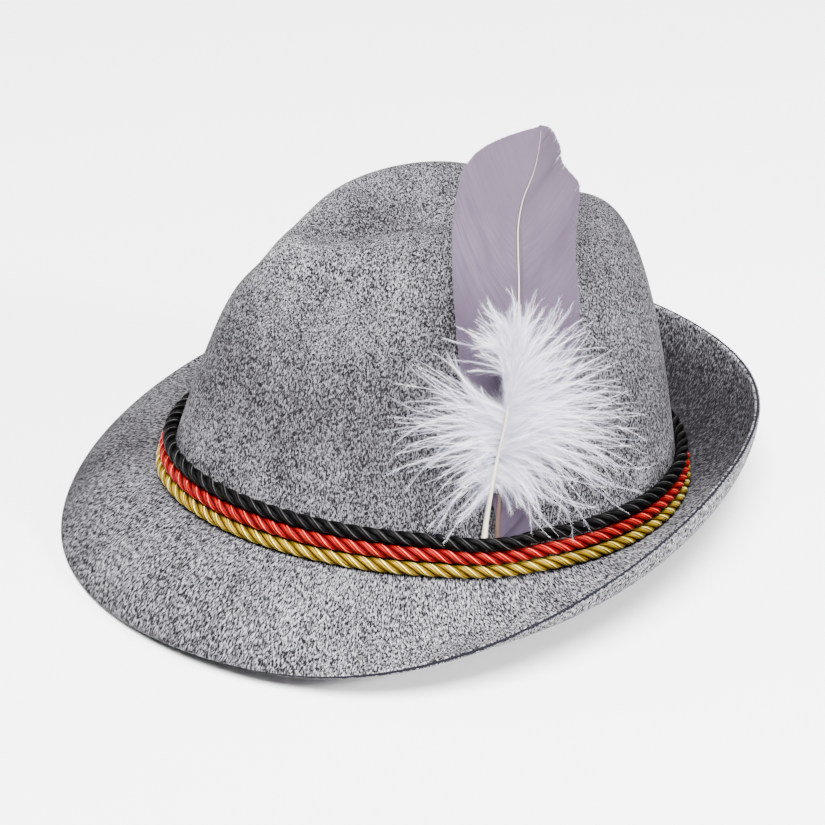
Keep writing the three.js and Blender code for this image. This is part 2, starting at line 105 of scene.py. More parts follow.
# Cords in millimetres
CORD_DIAMETER = 5.2
CORD_GAP = 0.3
CORD_LIFT = 0.8
CORD_BULGE_WIDTH = 16
CORD_PITCH = 18.6

# Strands of a cord: radius as a share of the cord's, width and thickness as shares of that
# radius, then ridges of yarn round each, their height as a share and how fast they wind
STRANDS = 3
STRAND_SHARE = 0.47
STRAND_WIDE = 1.22
STRAND_THICK = 1.02
STRAND_YARNS = 7
YARN_RELIEF = 0.05
YARN_TURNS = 2

# Feathers in millimetres
FEATHER_LENGTH = 154.8
FEATHER_WIDTH = 49.6
SHAFT_DIAMETER = 2.4
FEATHER_STANDOFF = 6
FEATHER_PLACE = 4.7
MARABOU_LENGTH = 74
MARABOU_QUILL_DIAMETER = 2.6
MARABOU_PLACE = -0.4
MARABOU_RISE = 8
LOCK_LENGTH = 54
QUILL_GAP = 0.3

# Web of the long feather: share of its length, then the shaft and the two edges as shares of
# its width from the quill's foot
VANE = np.array([
    [0.0, 0.0, -0.01, 0.28], [0.032, 0.0, -0.01, 0.3], [0.1, 0.01, -0.04, 0.34],
    [0.2, 0.03, -0.14, 0.44], [0.31, 0.057, -0.25, 0.54], [0.43, 0.09, -0.325, 0.59],
    [0.54, 0.123, -0.367, 0.598], [0.63, 0.122, -0.393, 0.583], [0.7, 0.111, -0.402, 0.553],
    [0.775, 0.109, -0.403, 0.558], [0.838, 0.15, -0.391, 0.577], [0.87, 0.192, -0.376, 0.556],
    [0.891, 0.215, -0.362, 0.494], [0.917, 0.236, -0.305, 0.432], [0.949, 0.252, -0.19, 0.417],
    [0.972, 0.26, -0.04, 0.384], [0.988, 0.26, 0.13, 0.352], [0.996, 0.258, 0.235, 0.32],
    [1, 0.258, 0.256, 0.26],
])

# Sides of the web: side, column of its edge in VANE, slopes of the barbs at shaft and edge
WEB_SIDES = [(-1, 2, 0.9, 2.6), (1, 3, 0.8, 1.7)]

# How unevenly the web's barbs end and lie, in millimetres
EDGE_UNEVEN = 0.35
BARB_UNEVEN = 0.03

# Gaps between barbs of the web: side, share of the length, opening in millimetres
SPLIT_SPREAD = 0.03
SPLITS = [(-1, 0.5, 0.9), (-1, 0.64, 0.8), (1, 0.45, 0.4), (-1, 0.83, 0.4)]

# Quill of the short feather: shares of its length along and to the side, and of its rise
QUILL = np.array([
    [0, 0, 0], [0.1, 0.008, 0.03], [0.26, 0.021, 0.3], [0.45, 0.04, 0.62], [0.62, 0.066, 0.88],
    [0.82, 0.085, 1], [1, 0.1, 1],
])

# Locks of down: share of the quill, degrees from straight up at the root and at the tips,
# share of the longest lock, lift off the felt as a share of its length, share of the barbs
LOCKS = np.array([
    [0.94, -6, -40, 0.4, 0.1, 1], [0.94, -2, -8, 0.4, 0.1, 1.2], [0.92, 6, 24, 0.42, 0.12, 1.2],
    [0.74, 4, 8, 0.66, 0.14, 0.6], [0.74, 8, 36, 0.7, 0.16, 1], [0.8, 34, 58, 0.64, 0.2, 1.3],
    [0.96, -40, -68, 0.46, 0.12, 0.6], [0.62, -56, -60, 0.78, 0.14, 1.1],
    [0.58, -62, -84, 0.8, 0.14, 0.8], [0.56, -66, -112, 0.78, 0.14, 0.5],
    [0.66, 60, 70, 0.68, 0.24, 1.2], [0.62, 72, 98, 0.84, 0.26, 1.5],
    [0.56, 80, 122, 0.88, 0.24, 1.4], [0.46, 96, 134, 0.72, 0.24, 1.1],
    [0.4, 112, 150, 0.5, 0.28, 0.35], [0.46, -90, -118, 0.58, 0.16, 0.35],
    [0.34, -106, -140, 0.45, 0.16, 0.15], [0.5, 40, 60, 0.42, 0.5, 0.7],
    [0.7, 50, 84, 0.72, 0.22, 0.8], [0.33, -24, -56, 0.26, 0.1, 0.5], [0.33, 30, 76, 0.3, 0.1, 0.6],
])

# Half a barb's width at its root and tip, and the size of its barbules, in millimetres, with
# the degrees that the barbules lean away from it
BARB_HALF_WIDTHS = (0.05, 0.014)
BARBULE_LENGTH = 8.5
BARBULE_HALF_WIDTH = 0.0155
BARBULE_LEAN = (5, 34)

# How unevenly the barbs of a lock lie: where they leave the quill as a share of it, their
# degrees from straight up at the root and at the tip, their lift, and their bend in radians
ROOT_SPREAD = 0.05
FIRST_SPREAD = 9
LAST_SPREAD = 19
LIFT_SPREAD = 0.1
BEND_SPREAD = 0.3
WAVE = 0.09

# How finely the surfaces are divided, and how many barbs and barbules there are
TURNS = 300
CROWN_ROWS = 80
BRIM_ROWS = 40
BEND_ROWS = 4
CORD_STATIONS = 460
STRAND_SIDES = 28
BARBS = 560
BARB_STEPS = 13
LOCK_STRANDS = 36
STRAND_STEPS = 11
BARBULES = 260
SHAFT_SIDES = 12
SHAFT_STATIONS = 120
QUILL_STATIONS = 60

# Lights: name, place and size in metres, power in watts; then the height that they point at
# in metres, and the strength of the light all round
SOFTBOXES = [
    ("overhead", (0.9, -0.1, 2.3), 1.3, 385),
    ("right_side", (1.3, 1.3, 0.9), 0.3, 95),
    ("left_side", (-1.2, -1.3, 1.1), 0.9, 32),
]
AIM_HEIGHT = 0.06
ROOM_LIGHT = 0.18

# The photograph's view, in the hat's own frame: degrees, millimetres
VIEW_TURN = 72.527
VIEW_HEIGHT = 28.513
VIEW_ROLL = 5.786
VIEW_TARGET = (0, -7.772, 24.181)
VIEW_DISTANCE = 1000
LENS = 110.63

HALF_LENGTH = BASE_LENGTH / 2
HALF_WIDTH = BASE_WIDTH / 2
CORD_RADIUS = CORD_DIAMETER / 2
CORD_DISTANCE = CORD_RADIUS + CORD_GAP
GOLD_HEIGHT = CORD_RADIUS + CORD_LIFT
CORD_STEP = CORD_DIAMETER + CORD_GAP


def mix(first, second, share):
    return first + (second - first) * share


def bell(value):
    return np.exp(-value * value)


def signed_power(value, power):
    return np.sign(value) * np.abs(value) ** power


def unit(vectors):
    return vectors / np.linalg.norm(vectors, axis=-1, keepdims=True)


def stacked(*parts):
    return np.stack(np.broadcast_arrays(*parts), axis=-1)


def smooth(xs, ys, at):
    """A smooth curve through a table, read at some places."""
    slopes = np.gradient(ys, xs)
    here = np.clip(np.searchsorted(xs, at) - 1, 0, len(xs) - 2)
    span = xs[here + 1] - xs[here]
    t = np.clip((at - xs[here]) / span, 0, 1)
    rise = ys[here + 1] - ys[here]
    return (ys[here] + rise * t * t * (3 - 2 * t)
            + span * slopes[here] * t * (1 - t) ** 2 - span * slopes[here + 1] * t * t * (1 - t))


def settled(points):
    """Points of the hat's own frame, set down on the brim, in metres and not below the floor."""
    c, s = math.cos(REST_TILT), math.sin(REST_TILT)
    turned = stacked(points[..., 0], points[..., 1] * c + points[..., 2] * s,
                     points[..., 2] * c - points[..., 1] * s)
    placed = turned + REST_SHIFT
    placed[..., 2] = np.maximum(placed[..., 2], 0)
    return placed / 1000


# Felt surface

def around_brim(values):
    """A smooth even function of the turn through evenly spaced sections."""
    last = len(values) - 1
    order = np.arange(last + 1)
    weight = np.where((order == 0) | (order == last), 0.5, 1)
    cosines = np.cos(np.pi * np.outer(order, order) / last)
    terms = 2 / last * weight * (cosines @ (weight * np.array(values)))
    return lambda turn: np.cos(np.multiply.outer(turn, order)) @ terms


brim_width_share = around_brim(BRIM_WIDTH_SHARES)
brim_root = around_brim(BRIM_ROOT_SLOPES)
brim_edge = around_brim(BRIM_EDGE_SLOPES)


def outline(turn):
    """Where the crown meets the brim, and the outward direction there."""
    def at(angle):
        x = HALF_WIDTH * signed_power(np.sin(angle), 2 / OUTLINE_POWER)
        y = -HALF_LENGTH * signed_power(np.cos(angle), 2 / OUTLINE_POWER)
        return stacked(x * (1 - OUTLINE_EGG * np.cos(angle)), y)
    along = unit(at(turn + 0.02) - at(turn - 0.02))
    return at(turn), stacked(along[..., 1], -along[..., 0])


def crown_point(turn, share):
    """Outer side of the crown at a share of its height."""
    point, normal = outline(turn)
    spread = (1 - share ** (2 / CROWN_RISE)) ** (CROWN_ROUNDING / 2)
    taper = np.where(point[..., 1] < 0, TAPER_FRONT, TAPER_BACK)
    x = point[..., 0] * spread * (1 - TAPER_SIDE * share)
    y = point[..., 1] * spread * (1 - taper * share)
    z = CROWN_HEIGHT * share * (1 + CROWN_TILT * share * y / HALF_LENGTH)
    along = (y / HALF_LENGTH - DENT["front"]) / (DENT["back"] - DENT["front"])
    width = DENT_HALF_WIDTH * mix(DENT["narrow"], 1, np.clip(along, 0, 1))
    end = np.where(along < 0.5, DENT["front"] - y / HALF_LENGTH, y / HALF_LENGTH - DENT["back"])
    begun = np.clip((share - DENT["from"]) / DENT["over"], 0, 1)
    z = z - DENT_DEPTH / (1 + np.exp(end / DENT["soft"])) * np.exp(-1.2 * (x / width) ** 2) * begun
    from_front = np.degrees(np.arctan2(np.sin(turn), np.cos(turn)))
    beside = np.hypot(from_front, PINCH["blunt"]) - PINCH["turn"]
    pinch = PINCH_DEPTH * bell(beside / PINCH["spread"]) * np.clip(
        (spread - PINCH_INSIDE) / PINCH_OVER, 0, 1) * bell(
        (z / CROWN_HEIGHT - PINCH["height"]) / PINCH["reach"])
    flare = BASE_FLARE * bell(z / FLARE_HEIGHT)
    return stacked(x - pinch * np.sin(turn) + flare * normal[..., 0],
                   y + pinch * np.cos(turn) + flare * normal[..., 1], z)


def brim_slope(turn, walked):
    share = walked / (BRIM_WIDTH * brim_width_share(turn))
    return np.radians(mix(brim_root(turn), brim_edge(turn), share ** BRIM_CURL))


def wall_at(turn, height):
    """Crown wall at a height, and the direction that points out of it."""
    point = crown_point(turn, height / CROWN_HEIGHT)
    above = crown_point(turn, (height + 0.5) / CROWN_HEIGHT)
    normal = outline(turn)[1]
    lean = np.sum((point - above)[..., :2] * normal, axis=-1) / 0.5
    return point, unit(stacked(normal[..., 0], normal[..., 1], lean))


def cord_centre(turn, height, distance):
    """Middle line of a cord, and the level direction away from the crown."""
    point, normal = wall_at(turn, height)
    level = np.hypot(normal[..., 0], normal[..., 1])
    away = stacked(normal[..., 0] / level, normal[..., 1] / level, 0 * level)
    centre = point + away * (distance / level)[..., None]
    centre[..., 2] = height
    return centre, away


def bend_height(turn):
    point, normal = outline(turn)
    centre = cord_centre(turn, GOLD_HEIGHT, CORD_DISTANCE)[0]
    reach = np.sum((centre[..., :2] - point) * normal, axis=-1) - BASE_FLARE
    slope = brim_slope(turn, reach + CORD_RADIUS)
    return GOLD_HEIGHT - (CORD_DISTANCE + reach * np.sin(slope)) / np.cos(slope)


def brim_rows(turn):
    """Upper side of the brim, from the bend out to the cut edge, and the felt walked."""
    point, normal = outline(turn)
    width = BRIM_WIDTH * brim_width_share(turn)
    position = stacked(point[:, 0] + BASE_FLARE * normal[:, 0],
                       point[:, 1] + BASE_FLARE * normal[:, 1], bend_height(turn))
    outward = stacked(normal[:, 0], normal[:, 1], 0 * turn)
    rows, distances, walked = [], [], np.zeros_like(turn)
    for row in range(BRIM_ROWS + 1):
        step = (mix(BEND, width, row / BRIM_ROWS) - walked) / 2
        for _ in range(2):
            slope = brim_slope(turn, walked + step / 2)
            position = position + outward * (np.cos(slope) * step)[:, None]
            position[:, 2] += np.sin(slope) * step
            walked = walked + step
        rows.append(position)
        distances.append(walked)
    return np.stack(rows, 1), np.stack(distances, 1)


def crown_shares():
    """Height shares of the crown's rows, evenly spaced along the felt, the top first."""
    share = np.sin(np.linspace(0, np.pi / 2, 2000)) ** CROWN_RISE
    x = HALF_WIDTH * (1 - share ** (2 / CROWN_RISE)) ** (CROWN_ROUNDING / 2) * (1 - TAPER_SIDE * share)
    lengths = np.concatenate([[0], np.cumsum(np.hypot(np.diff(x), np.diff(CROWN_HEIGHT * share)))])
    return np.interp(lengths[-1] * np.arange(CROWN_ROWS) / CROWN_ROWS, lengths, share)[::-1]


def felt_columns():
    """Upper side of the felt: a column of points for each turn, the grain under them, and the painted
    shade on them.

    The grain is the surface rolled out with its length down the felt shortened, so that a
    pattern made from it runs down the crown and out across the brim.
    """
    turn = 2 * np.pi * np.arange(TURNS) / TURNS
    point, normal = outline(turn)
    foot = (bend_height(turn) + BEND) / CROWN_HEIGHT
    crown = crown_point(turn[:, None], mix(foot[:, None], 1, crown_shares()[None, :]))
    brim, walked = brim_rows(turn)
    corner = stacked(point[:, 0] + BASE_FLARE * normal[:, 0],
                     point[:, 1] + BASE_FLARE * normal[:, 1], bend_height(turn))
    shares = (np.arange(1, BEND_ROWS) / BEND_ROWS)[None, :, None]
    bend = (crown[:, -1:] * (1 - shares) ** 2 + 2 * corner[:, None] * shares * (1 - shares)
            + brim[:, :1] * shares ** 2)
    columns = np.concatenate([crown, bend, brim], 1)
    grain = columns.copy()
    grain[..., 2] *= CROWN_GRAIN
    rows = crown.shape[1] + bend.shape[1]
    flat = point[:, None] + normal[:, None] * walked[..., None] * BRIM_GRAIN
    grain[:, rows:] = stacked(flat[..., 0], flat[..., 1], 0 * walked)
    return columns, grain, felt_tone(turn, rows, walked)


def felt_tone(turn, rows, walked):
    """Painted shade on the felt, a share of its own colour, with a column for each turn as in
    felt_columns.

    It is painted darker in the crease, in the valley behind the crown, beside the lowest cord and
    towards the front edge, most of all on the far side, where shade falls.
    """
    back = smooth(VALLEY_SHADE[0], VALLEY_SHADE[1], -np.cos(turn - VALLEY_TURN))[:, None]
    front, behind, beside, far = (np.clip(value, 0, 1)[:, None] for value in (
        np.cos(turn), -np.cos(turn), np.sin(turn), 0.1 - 2.2 * np.sin(turn)))
    down = np.linspace(0, 1, rows)[None, :]
    shoulder = bell((down - 0.3) / 0.15)
    # Painted light and shade on the crown, by height and by turn
    crown = smooth(CROWN_PAINTED_SHADE[0], CROWN_PAINTED_SHADE[1], down)
    crown = crown * (1 - 0.32 * beside ** 4) * (1 - 0.65 * behind ** 0.5 * shoulder)
    out = walked / walked[:, -1:]
    # Painted shade: in the valley behind the crown, towards the front edge, on the far front of the brim
    # and beside the lowest cord
    valley = 1 - 0.92 * back * (1 - out ** 6)
    front_edge = (1 - 0.3 * front) * (1 - 0.3 * front * out ** 6)
    far_front = 1 - 0.5 * front * far * far * (3 - 2 * far)
    beside_cord = 1 - 0.2 * np.exp(-walked / 12)
    brim = valley * front_edge * far_front * beside_cord
    return np.clip(np.concatenate([crown, brim], 1), 0.06, 1)


def felt_normals(columns, top):
    before, after = np.roll(columns, 1, 0), np.roll(columns, -1, 0)
    first = np.broadcast_to(top, columns[:, :1].shape)
    above = np.concatenate([first, columns[:, :-1]], 1)
    below = np.concatenate([columns[:, 1:], columns[:, -1:]], 1)
    return unit(np.cross(below - above, after - before))


# Meshes

def piece(name, points, faces, surface, **attributes):
    """A smooth mesh from arrays of points and of faces that all have as many corners."""
    mesh = bpy.data.meshes.new(name)
    mesh.vertices.add(len(points))
    mesh.vertices.foreach_set("co", points.astype(np.float32).ravel())
    mesh.loops.add(faces.size)
    mesh.loops.foreach_set("vertex_index", faces.astype(np.int32).ravel())
    mesh.polygons.add(len(faces))
    starts = np.arange(0, faces.size, faces.shape[1])
    mesh.polygons.foreach_set("loop_start", starts.astype(np.int32))
    mesh.update(calc_edges=True)
    mesh.validate()
    for key, values in attributes.items():
        vector = values.ndim == 2
        layer = mesh.attributes.new(key, "FLOAT_VECTOR" if vector else "FLOAT", "POINT")
        layer.data.foreach_set("vector" if vector else "value", values.astype(np.float32).ravel())
    mesh.shade_smooth()
    mesh.materials.append(surface)
    made = bpy.data.objects.new(name, mesh)
    bpy.context.scene.collection.objects.link(made)
    return made


def sheet_faces(columns, rows):
    """Triangles of columns of points joined round, and of a fan at each end of the columns.

    The points that the fans meet at come after all the columns: the first rows' point, then
    the last rows'.
    """
    start = np.arange(columns) * rows
    after_start = (np.arange(columns) + 1) % columns * rows
    here = (start[:, None] + np.arange(rows - 1)).ravel()
    after = (after_start[:, None] + np.arange(rows - 1)).ravel()
    first = np.full(columns, columns * rows)
    return np.concatenate([
        np.stack([here, here + 1, after + 1], -1),
        np.stack([here, after + 1, after], -1),
        np.stack([first, start, after_start], -1),
        np.stack([first + 1, after_start + rows - 1, start + rows - 1], -1)])


def tapered(lines, sides):
    """Thin blades along many lines, each ending in a point: points, faces, line and place."""
    count, steps = lines.shape[:2]
    pairs = np.stack([lines[:, :-1] - sides[:, :-1], lines[:, :-1] + sides[:, :-1]], 2)
    points = np.concatenate([pairs.reshape(count, -1, 3), lines[:, -1:]], 1)
    corners = points.shape[1]
    pattern = []
    for step in range(steps - 2):
        a = 2 * step
        pattern += [[a, a + 1, a + 3], [a, a + 3, a + 2]]
    pattern.append([corners - 3, corners - 2, corners - 1])
    faces = (np.array(pattern)[None] + corners * np.arange(count)[:, None, None]).reshape(-1, 3)
    place = np.append(np.repeat(np.arange(steps - 1), 2), steps - 1) / (steps - 1)
    return points.reshape(-1, 3), faces, np.repeat(np.arange(count), corners), np.tile(place, count)


def tube(centres, radial, wide, thick, sides, closed):
    """A tube around a line of points. radial says which way its thickness runs."""
    if closed:
        along = unit(np.roll(centres, -1, 0) - np.roll(centres, 1, 0))
    else:
        along = unit(np.gradient(centres, axis=0))
    across = unit(np.cross(along, radial))
    front = np.cross(across, along)
    angle = 2 * np.pi * np.arange(sides) / sides
    points = (centres[:, None] + front[:, None] * (thick * np.cos(angle))[..., None]
              + across[:, None] * (wide * np.sin(angle))[..., None])
    stations = len(centres)
    here = np.arange(stations if closed else stations - 1)[:, None] * sides
    after = ((np.arange(len(here))[:, None] + 1) % stations) * sides
    side = np.arange(sides)[None, :]
    beside = (side + 1) % sides
    faces = np.stack([here + side, here + beside, after + beside, after + side], -1).reshape(-1, 4)
    return points.reshape(-1, 3), faces, np.tile(angle, stations)


def joined(parts):
    """Points, faces and further arrays of several meshes as one."""
    offsets = np.cumsum([0] + [len(part[0]) for part in parts[:-1]])
    faces = np.concatenate([part[1] + offset for part, offset in zip(parts, offsets)])
    others = [np.concatenate(rows) for rows in zip(*[part[2:] for part in parts])]
    return np.concatenate([part[0] for part in parts]), faces, *others


# Materials

class Shade:
    """A shader socket that takes part in ordinary arithmetic."""

    def __init__(self, tree, socket=None):
        self.tree = tree
        self.socket = socket

    def node(self, kind, settings=None, inputs=None, output=0):
        """Adds a node, sets it up, and returns one of its outputs."""
        made = self.tree.nodes.new(kind)
        for name, value in (settings or {}).items():
            setattr(made, name, value)
        for key, value in (inputs or {}).items():
            if isinstance(value, Shade):
                self.tree.links.new(value.socket, made.inputs[key])
            else:
                made.inputs[key].default_value = value
        return Shade(self.tree, made.outputs[output])

    def maths(self, operation, *values):
        return self.node("ShaderNodeMath", {"operation": operation}, dict(enumerate(values)))

    def __add__(self, other):
        return self.maths("ADD", self, other)

    def __sub__(self, other):
        return self.maths("SUBTRACT", self, other)

    def __rsub__(self, other):
        return self.maths("SUBTRACT", other, self)

    def __mul__(self, other):
        return self.maths("MULTIPLY", self, other)

    def __pow__(self, other):
        return self.maths("POWER", self, other)

    def __rpow__(self, other):
        return self.maths("POWER", other, self)

    __radd__ = __add__
    __rmul__ = __mul__

    def clamped(self):
        return self.node("ShaderNodeClamp", None, {0: self})

    def between(self, low, high):
        """0 below low, 1 above high, and smooth between."""
        return self.node("ShaderNodeMapRange", {"interpolation_type": "SMOOTHSTEP"},
                         {0: self, 1: low, 2: high, 3: 0.0, 4: 1.0})

    def blend(self, first, second):
        """Two colours mixed by this factor, with the Mix node's colour sockets by number."""
        return self.node("ShaderNodeMix", {"data_type": "RGBA"}, {0: self, 6: first, 7: second}, 2)

    def attribute(self, name, output="Fac"):
        return self.node("ShaderNodeAttribute", {"attribute_name": name}, None, output)

    def place(self):
        """Place on the piece, in metres."""
        return self.node("ShaderNodeTexCoord", None, None, "Object")

    def combined(self, *values):
        """A vector of up to three numbers."""
        return self.node("ShaderNodeCombineXYZ", None, dict(enumerate(values)))

    def axis(self, order):
        """One number of a vector."""
        return self.node("ShaderNodeSeparateXYZ", None, {0: self}, order)

    def noise(self, vector, scale, detail=2.0, rough=0.5, twist=0.0):
        return self.node("ShaderNodeTexNoise", None, {
            "Vector": vector, "Scale": scale, "Detail": detail, "Roughness": rough,
            "Distortion": twist})

    def bump(self, height, strength, distance):
        return self.node("ShaderNodeBump", None, {
            "Height": height, "Strength": strength, "Distance": distance})


def rgb(red, green, blue):
    return (red, green, blue, 1.0)


def material(name, paint_with):
    """A material whose surface is a principled shader with the inputs that a function gives."""
    made = bpy.data.materials.new(name)
    made.use_nodes = True
    tree = made.node_tree
    tree.nodes.clear()
    shade = Shade(tree)
    surface = shade.node("ShaderNodeBsdfPrincipled", None, paint_with(shade))
    output = tree.nodes.new("ShaderNodeOutputMaterial")
    tree.links.new(surface.socket, output.inputs["Surface"])
    return made


def felt_paint(shade):
    """Heather felt: pale and dark fibres in a curly mat that runs down the hat, under painted shade."""
    dark_fibre = rgb(0.006, 0.0055, 0.0065)
    pale_fibre = rgb(0.37, 0.361, 0.39)
    cut_edge = rgb(0.008, 0.008, 0.011)
    grain = shade.attribute("grain", "Vector")
    curls = shade.noise(grain, 1.15, rough=0.55, twist=0.7)
    fibres = (1.0 - shade.maths("ABSOLUTE", curls - 0.5) * 11.0).clamped()
    specks = shade.noise(grain, 1.9, rough=0.65, twist=0.35)
    clouds = shade.noise(grain, 0.08, detail=3.0, rough=0.6)
    pale = fibres * 0.5 + specks.between(0.36, 0.64) * 0.85 + (clouds - 0.5) * 0.5 - 0.17
    # Painted shade: the felt's colour is darkened by the shade laid on in felt_body.
    felt = (pale.clamped() ** 2.3 * shade.attribute("tone")).blend(dark_fibre, pale_fibre)
    height = fibres * 0.4 + specks
    return {
        "Base Color": shade.attribute("edge").between(0.4, 0.9).blend(felt, cut_edge),
        "Roughness": 0.95, "Specular IOR Level": 0.03,
        "Normal": shade.bump(height, 0.5, 0.0004),
    }


def cord_paint(dark, body, pale, gloss, metal):
    """Silky twisted yarn: fine threads along each strand, two painted highlight lines, and painted
    shade towards the grooves between strands.
    """
    def paint(shade):
        ring = shade.attribute("ring", "Vector")
        along = shade.attribute("along")
        angle = shade.maths("ARCTAN2", ring.axis(1), ring.axis(0))
        stretched = shade.combined(ring.axis(0) * 2.0, ring.axis(1) * 2.0, along * 0.16)
        drift = shade.noise(stretched, 1.3) - 0.5
        threads = shade.maths("SINE", (angle + drift * 0.5) * 13.0 + along * 0.35) * 0.5 + 0.5
        # Painted shade: each strand darkens towards the grooves on either side of it.
        outside_groove_shade = 1.0 - shade.maths("ABSOLUTE", angle + 0.1).between(0.9, 1.6)
        base = (threads.between(0.05, 0.8) * outside_groove_shade).blend(dark, body)
        # Painted highlights: a bright line along each strand and a fainter second one, in the pale
        # colour.
        off_glint = shade.maths("ABSOLUTE", angle + drift * 0.45 + 0.42)
        glint = (1.0 - off_glint.between(0.04, 0.17)) * (drift * 1.6 + 0.85).clamped()
        off_second = shade.maths("ABSOLUTE", angle + drift * 0.3 - 0.35)
        second = (1.0 - off_second.between(0.03, 0.13)) * 0.2
        colour = (glint + second).clamped().blend(base, pale)
        return {
            "Base Color": colour, "Roughness": gloss, "Specular IOR Level": 0.035,
            "Metallic": metal, "Normal": shade.bump(threads + drift, 0.4, 0.0002),
        }
    return paint


def vane_paint(shade):
    """Mauve-grey web: greyer and darker at its foot, partly its own colour and partly painted shade
    under the down; paler in front, darker at its top, finely streaked, with a painted shade line
    beside the shaft.
    """
    across = shade.attribute("across")
    along = shade.attribute("along")
    fine = shade.combined(shade.attribute("barb") * 0.35, across * 2.0)
    streaks = shade.noise(fine, 1.0, detail=3.0, rough=0.6)
    patches = shade.noise(shade.combined(along * 9.0, across * 2.5), 1.0)
    front = (across * -1.0).between(-0.1, 0.9) * along.between(0.3, 0.6)
    top = along.between(0.45, 0.8) * 0.9
    # Painted shade: a dark line just beside the shaft.
    shade_beside_shaft = across.between(-0.01, 0.01) * (1.0 - across.between(0.05, 0.1)) * 0.8
    # Darker towards the foot: partly the web's own colour, partly painted shade under the down.
    colour = along.between(0.25, 0.75).blend(rgb(0.05, 0.038, 0.06), rgb(0.105, 0.08, 0.118))
    colour = front.blend(colour, rgb(0.112, 0.086, 0.124))
    colour = top.blend(colour, rgb(0.066, 0.052, 0.071))
    colour = (patches.between(0.45, 0.7) * 0.6).blend(colour, rgb(0.062, 0.046, 0.07))
    colour = shade_beside_shaft.blend(colour, rgb(0.05, 0.036, 0.05))
    colour = streaks.between(0.35, 0.75).blend(colour, rgb(0.064, 0.048, 0.072))
    return {
        "Base Color": colour, "Roughness": 0.55, "Specular IOR Level": 0.1,
        "Normal": shade.bump(streaks, 0.3, 0.0002),
    }


def shaft_paint(shade):
    """Ivory shaft, brown at its bare foot and at its sides, duller at its tip."""
    brown_foot = rgb(0.06, 0.035, 0.03)
    brown_side = rgb(0.09, 0.05, 0.035)
    side = shade.attribute("side")
    place = shade.attribute("place")
    noise = shade.noise(shade.place(), 900.0)
    ivory = place.between(0.75, 1.0).blend(rgb(0.5, 0.43, 0.34), rgb(0.26, 0.2, 0.2))
    bare = place.between(0.1, 0.24).blend(brown_foot, ivory)
    colour = (side * side * 0.75 + noise * 0.1).clamped().blend(bare, brown_side)
    return {"Base Color": colour, "Roughness": 0.35, "Normal": shade.bump(noise, 0.2, 0.0001)}


def quill_paint(shade):
    """Cream quill of the short feather."""
    noise = shade.noise(shade.place(), 500.0, detail=3.0)
    colour = noise.blend(rgb(0.7, 0.64, 0.53), rgb(0.42, 0.35, 0.27))
    return {"Base Color": colour, "Roughness": 0.38, "Normal": shade.bump(noise, 0.15, 0.0001)}


def down_paint(shade):
    """White down, violet grey in places."""
    strand = shade.attribute("strand")
    tone = shade.noise(shade.combined(strand * 0.22, shade.attribute("place") * 2.5), 1.0)
    colour = tone.between(0.3, 0.7).blend(rgb(0.42, 0.42, 0.56), rgb(0.97, 0.97, 1.0))
    return {"Base Color": colour, "Roughness": 0.7, "Specular IOR Level": 0.3}


def floor_paint(shade):
    """Pale floor, hardly mottled."""
    noise = shade.noise(shade.place(), 30.0)
    colour = noise.blend(rgb(0.9, 0.9, 0.9), rgb(0.915, 0.915, 0.915))
    return {"Base Color": colour, "Roughness": 0.9, "Specular IOR Level": 0.1}


# Pieces

def felt_rim(columns, inner, grain):
    """Rows around the rounded cut edge, from the upper side to the lower, and their grain."""
    outward = unit(columns[:, -1] - columns[:, -2])
    rows = [mix(columns[:, -1], inner[:, -1], share)
            + outward * RIM_BULGE * math.sin(math.pi * share) for share in RIM_SHARES]
    grains = [grain[:, -1] + outward * share for share in RIM_SHARES]
    return np.stack(rows, 1), np.stack(grains, 1)


def felt_body():
    """The whole felt shell as one closed surface with a softly rounded cut edge."""
    columns, grain, tone = felt_columns()
    top = crown_point(np.array(0.0), np.array(1.0))
    top_grain = top * [1, 1, CROWN_GRAIN]
    inner = columns - felt_normals(columns, top) * FELT_THICKNESS
    rim, rim_grain = felt_rim(columns, inner, grain)
    sheet = np.concatenate([columns, rim, inner[:, ::-1]], 1)
    sheet_grain = np.concatenate([grain, rim_grain, grain[:, ::-1] + INSIDE_SHIFT], 1)
    rows = columns.shape[1]
    rim_rows = len(RIM_SHARES)
    edge = np.zeros(sheet.shape[:2])
    edge[:, rows:rows + rim_rows] = RIM_DARK
    # The cut edge and the inside get no painted shade; the upper side carries the painted shade.
    plain_tone = np.ones((TURNS, rim_rows + rows))
    points = np.concatenate([sheet.reshape(-1, 3), [top, top - [0, 0, FELT_THICKNESS]]])
    all_grain = np.concatenate([sheet_grain.reshape(-1, 3), [top_grain, top_grain + INSIDE_SHIFT]])
    all_tone = np.append(np.concatenate([tone, plain_tone], 1).ravel(), [1, 1])
    return piece("felt_shell", settled(points), sheet_faces(TURNS, sheet.shape[1]),
                 material("heather_felt", felt_paint), grain=all_grain,
                 edge=np.append(edge.ravel(), [0, 0]), tone=all_tone)


def turn_at(place):
    """Turn round the crown, on the feathers' side, of a place towards the back in millimetres."""
    return math.pi / 2 + math.asin(max(-1, min(1, place / HALF_LENGTH)))


def cord_line(order, bulge):
    """Middle line of a cord at even steps along it, and the level direction off the crown."""
    turn = np.linspace(0, 2 * np.pi, 4001)
    middle = turn_at((FEATHER_PLACE + MARABOU_PLACE) / 2)
    beside = (turn - middle) * HALF_LENGTH / CORD_BULGE_WIDTH
    over = bulge * (MARABOU_QUILL_DIAMETER + QUILL_GAP) * np.exp(-beside ** 4)
    centre, away = cord_centre(turn, GOLD_HEIGHT + order * CORD_STEP, CORD_DISTANCE + over)
    walked = np.concatenate([[0], np.cumsum(np.linalg.norm(np.diff(centre, axis=0), axis=1))])
    at = walked[-1] * np.arange(CORD_STATIONS) / CORD_STATIONS
    even = stacked(*[np.interp(at, walked, centre[:, axis]) for axis in range(3)])
    level = unit(stacked(*[np.interp(at, walked, away[:, axis]) for axis in range(3)]))
    return even, level, at, walked[-1]


